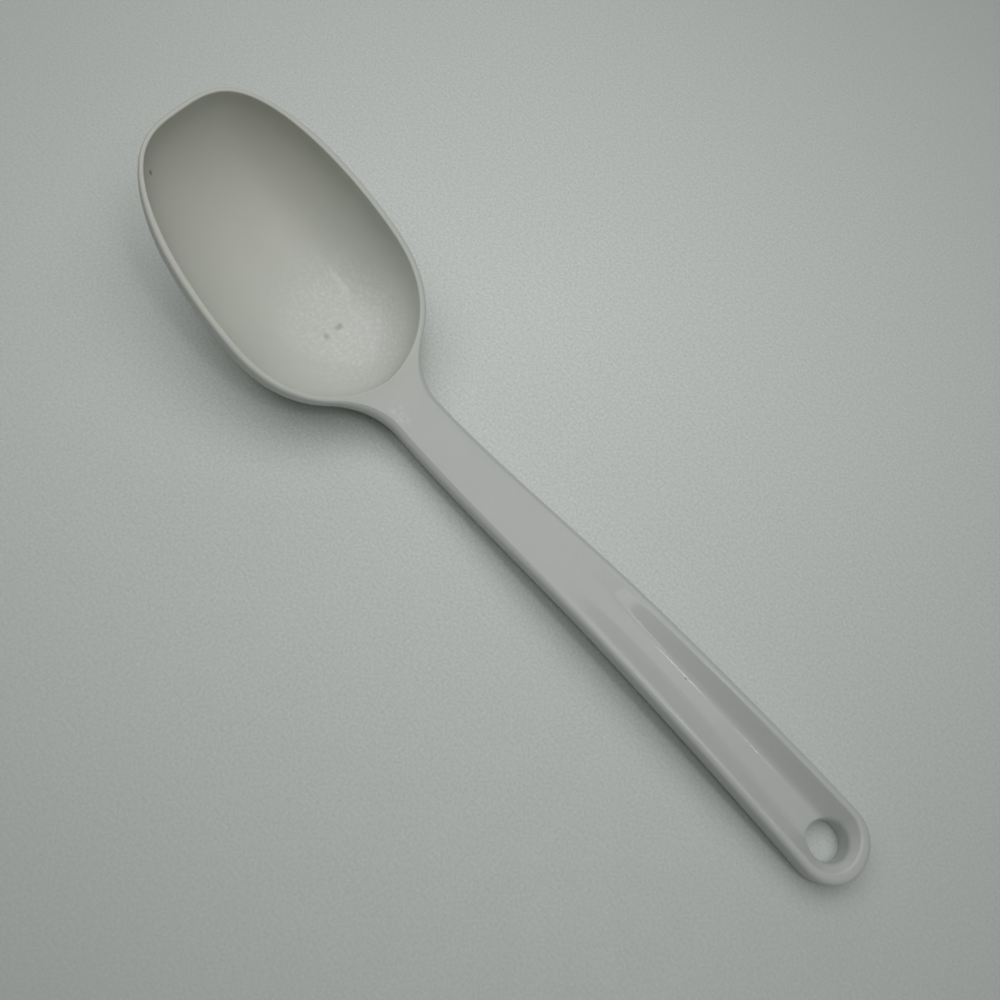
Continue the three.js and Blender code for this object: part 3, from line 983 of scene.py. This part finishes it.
def melamine():
    """Off-white moulded plastic: faintly cloudy, satin gloss, worn, stained and scratched in the bowl, with
    painted light and shade: a paler inside and heel, a darker tip and pale flecks as painted glints.
    """
    material, tree, shader, place = make_material("melamine")
    clouds = use_group(tree, MOTTLE, Vector=place, Cloud=26 * MM, Low=0, High=0.5)
    colour = tint(tree, clouds, PLASTIC, PLASTIC_CLOUD)
    grain = use_group(tree, MOTTLE, Vector=place, Cloud=1.1 * MM, Low=0, High=0.35)
    colour = tint(tree, grain, colour, PLASTIC_GRAIN)

    # Inside the bowl: a warm food tint, made paler as painted light for the light bounced round the bowl
    in_bowl = patch(tree, place, BOWL_TINT, edge=0.5, strength=1)
    uneven = use_group(tree, MOTTLE, Vector=place, Cloud=15 * MM, Low=0.6, High=0.9)
    colour = tint(tree, calculate(tree, "MULTIPLY", in_bowl, uneven), colour, FOOD_TINT_AND_PAINTED_BOUNCE)
    # Painted light: a paler patch on the walls of the heel
    colour = tint(tree, patch(tree, place, HEEL_PAINTED_LIGHT_PLACE, edge=0.6, strength=0.4), colour, HEEL_PAINTED_LIGHT)
    # Painted shade: a darker patch inside the tip
    colour = tint(tree, patch(tree, place, TIP_PAINTED_SHADE_PLACE, edge=0.6, strength=0.8), colour, TIP_PAINTED_SHADE)

    # Painted glints: pale flecks on the heel and on the neck's left shoulder stand in for a lamp's
    # reflections; the heel patch also keeps the coat's gloss in flecks
    glossy_heel_and_painted_glints = patch(tree, place, GLOSSY_HEEL_AND_PAINTED_GLINTS, edge=0.5, strength=1)
    painted_glint_zone = calculate(tree, "MAXIMUM", glossy_heel_and_painted_glints, patch(tree, place, PAINTED_GLINT_NECK, edge=0.5, strength=1))
    painted_glints = use_group(tree, MOTTLE, Vector=place, Cloud=1.2 * MM, Low=-0.8, High=1.2)
    painted_glints = calculate(tree, "MULTIPLY", calculate(tree, "MAXIMUM", painted_glints, 0), painted_glint_zone)
    colour = tint(tree, calculate(tree, "MULTIPLY", painted_glints, PAINTED_GLINT_SHARE), colour, PAINTED_GLINT)

    ragged = ragged_place(tree, place)
    for spot in STAINS:
        colour = tint(tree, patch(tree, ragged, spot, edge=0.8, strength=0.6), colour, STAIN)
    for spot in DARK_SPECKS:
        colour = tint(tree, patch(tree, place, spot, edge=0.5, strength=0.7), colour, DARK_SPECK)
    dust = use_group(tree, SPECKS, Vector=place, Spacing=6 * MM, Size=0.45 * MM, Share=0.3)
    colour = tint(tree, calculate(tree, "MULTIPLY", dust, DUST_SHARE), colour, DUST)

    scratches = calculate(
        tree, "MAXIMUM",
        streaks(tree, place, turn=math.radians(24), length=9 * MM, width=0.22 * MM, rarity=0.69),
        streaks(tree, place, turn=math.radians(-51), length=7 * MM, width=0.2 * MM, rarity=0.7),
    )
    worn = patch(tree, place, WORN_FLOOR, edge=0.6, strength=1)
    scratches = calculate(tree, "MULTIPLY", scratches, worn)
    gloss = use_group(tree, MOTTLE, Vector=place, Cloud=9 * MM, Low=0.4, High=0.5)
    roughness = calculate(tree, "ADD", gloss, calculate(tree, "MULTIPLY", scratches, SCRATCH_ROUGHNESS))
    peel = use_group(tree, PEEL, Vector=place, Wave=2.4 * MM, Grain=0.55 * MM, Grain_Share=0.3)
    height = calculate(tree, "SUBTRACT", peel, calculate(tree, "MULTIPLY", scratches, SCRATCH_HEIGHT))
    set_surface(tree, shader, colour, roughness, height, bump_depth=0.05 * MM, bump_strength=0.5)

    flecks = use_group(tree, MOTTLE, Vector=place, Cloud=2.2 * MM, Low=-0.3, High=1.4)
    flecks = calculate(tree, "MAXIMUM", calculate(tree, "MULTIPLY", flecks, glossy_heel_and_painted_glints), 0)
    dull = calculate(tree, "MULTIPLY", in_bowl, calculate(tree, "SUBTRACT", 1, flecks))
    coat = calculate(tree, "MULTIPLY", calculate(tree, "SUBTRACT", 1, dull), COAT)
    tree.links.new(coat, shader.inputs["Coat Weight"])
    shader.inputs["IOR"].default_value = 1.5
    shader.inputs["Coat Roughness"].default_value = 0.1
    return material


# Painted pool of light in the middle of the table, as (place, size along X, Y and Z)
PAINTED_LIGHT_POOL_PLACE = (Vector((-0.04, 0.06, 0)), Vector((0.36, 0.36, 0.36)))


def table_top():
    """Pale grey worktop with a fine grain, and a painted pool of light in its middle."""
    material, tree, shader, place = make_material("table_top")
    clouds = use_group(tree, MOTTLE, Vector=place, Cloud=90 * MM, Low=0, High=0.6)
    colour = tint(tree, clouds, TABLE, TABLE_CLOUD)
    # Painted pool of light in the middle of the table
    colour = tint(tree, blot(tree, place, *PAINTED_LIGHT_POOL_PLACE), colour, TABLE_PAINTED_LIGHT_POOL)
    grain = use_group(tree, MOTTLE, Vector=place, Cloud=0.9 * MM, Low=0, High=0.5)
    colour = tint(tree, grain, colour, TABLE_GRAIN)
    specks = use_group(tree, SPECKS, Vector=place, Spacing=24 * MM, Size=0.5 * MM, Share=0.3)
    colour = tint(tree, calculate(tree, "MULTIPLY", specks, TABLE_SPECK_SHARE), colour, TABLE_SPECK)
    roughness = use_group(tree, MOTTLE, Vector=place, Cloud=12 * MM, Low=0.42, High=0.5)
    peel = use_group(tree, PEEL, Vector=place, Wave=3 * MM, Grain=0.7 * MM, Grain_Share=0.5)
    set_surface(tree, shader, colour, roughness, peel, bump_depth=0.05 * MM, bump_strength=0.35)
    return material


# Camera at the photograph's viewing angle
CAMERA_PLACE = Vector((137.83, -94.88, 286.05)) * MM
CAMERA_RIGHT = Vector((0.69062, 0.71371, 0.11685))
CAMERA_DOWN = Vector((0.70179, -0.62233, -0.34669))
CAMERA_AHEAD = Vector((-0.17472, 0.32144, -0.93067))
CAMERA_SENSOR_MM = 36
CAMERA_LENS_MM = 36
TABLE_SIZE = 6
ROOM_LIGHT = 0.07


def make_camera():
    data = bpy.data.cameras.new("camera")
    data.sensor_width = CAMERA_SENSOR_MM
    data.lens = CAMERA_LENS_MM
    data.clip_start = 10 * MM
    camera = bpy.data.objects.new("camera", data)
    bpy.context.scene.collection.objects.link(camera)
    turn = Matrix((CAMERA_RIGHT, -CAMERA_DOWN, -CAMERA_AHEAD)).transposed().to_4x4()
    camera.matrix_world = Matrix.Translation(CAMERA_PLACE + Vector((BOWL_WIDEST_X, 0, 0))) @ turn
    bpy.context.scene.camera = camera


def make_table():
    bpy.ops.object.select_all(action="DESELECT")
    bpy.ops.mesh.primitive_plane_add(size=TABLE_SIZE)
    table = bpy.context.object
    table.name = "table"
    table.data.materials.append(table_top())


def area_light(name, place, target, along, size, power):
    """A soft rectangular light that faces its target, with its first side along a direction."""
    data = bpy.data.lights.new(name, "AREA")
    data.shape = "RECTANGLE"
    data.size, data.size_y = size
    data.energy = power
    light = bpy.data.objects.new(name, data)
    bpy.context.scene.collection.objects.link(light)
    back = (Vector(place) - Vector(target)).normalized()
    side = (Vector(along) - back * Vector(along).dot(back)).normalized()
    turn = Matrix((side, back.cross(side), back)).transposed().to_4x4()
    light.matrix_world = Matrix.Translation(place) @ turn


def hanging_light(name, x, y, height, along, size, power):
    """An area light that faces straight down."""
    area_light(name, (x, y, height), (x, y, 0), along, size, power)


def make_light():
    """A broad softbox, three small lamps for the glints, two low fills and a little light from the room."""
    lengthwise, crosswise, slanting = (1, 0, 0), (0, 1, 0), (1, 1, 0)
    middle, fill_size, fill_power = (0, 0, 0), (0.5, 0.5), 0.44
    hanging_light("softbox", -0.22, 0.1, height=0.6, along=(0.84, 0.55, 0), size=(1, 0.6), power=2.42)
    hanging_light("lamp_heel", 0.09, -0.2, height=0.8, along=lengthwise, size=(0.26, 0.1), power=0.36)
    hanging_light("lamp_handle", 0.26, 0, height=0.8, along=lengthwise, size=(0.12, 0.08), power=0.38)
    hanging_light("lamp_end", 0.46, 0, height=0.8, along=lengthwise, size=(0.1, 0.08), power=0.2)
    area_light("fill_tip", (0.9, 0, 0.35), middle, crosswise, fill_size, fill_power)
    area_light("fill_side", (-0.64, 0.64, 0.35), middle, slanting, fill_size, fill_power)
    world = bpy.data.worlds.new("room")
    world.use_nodes = True
    background = world.node_tree.nodes["Background"]
    background.inputs["Color"].default_value = (1, 1, 1, 1)
    background.inputs["Strength"].default_value = ROOM_LIGHT
    bpy.context.scene.world = world


spoon = make_spoon()
spoon.data.materials.append(melamine())
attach(spoon, "root")
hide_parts("bowl", "rim", "neck", "handle", "hanging_eye")

make_camera()
make_table()
make_light()
bpy.context.scene.view_settings.view_transform = "Standard"
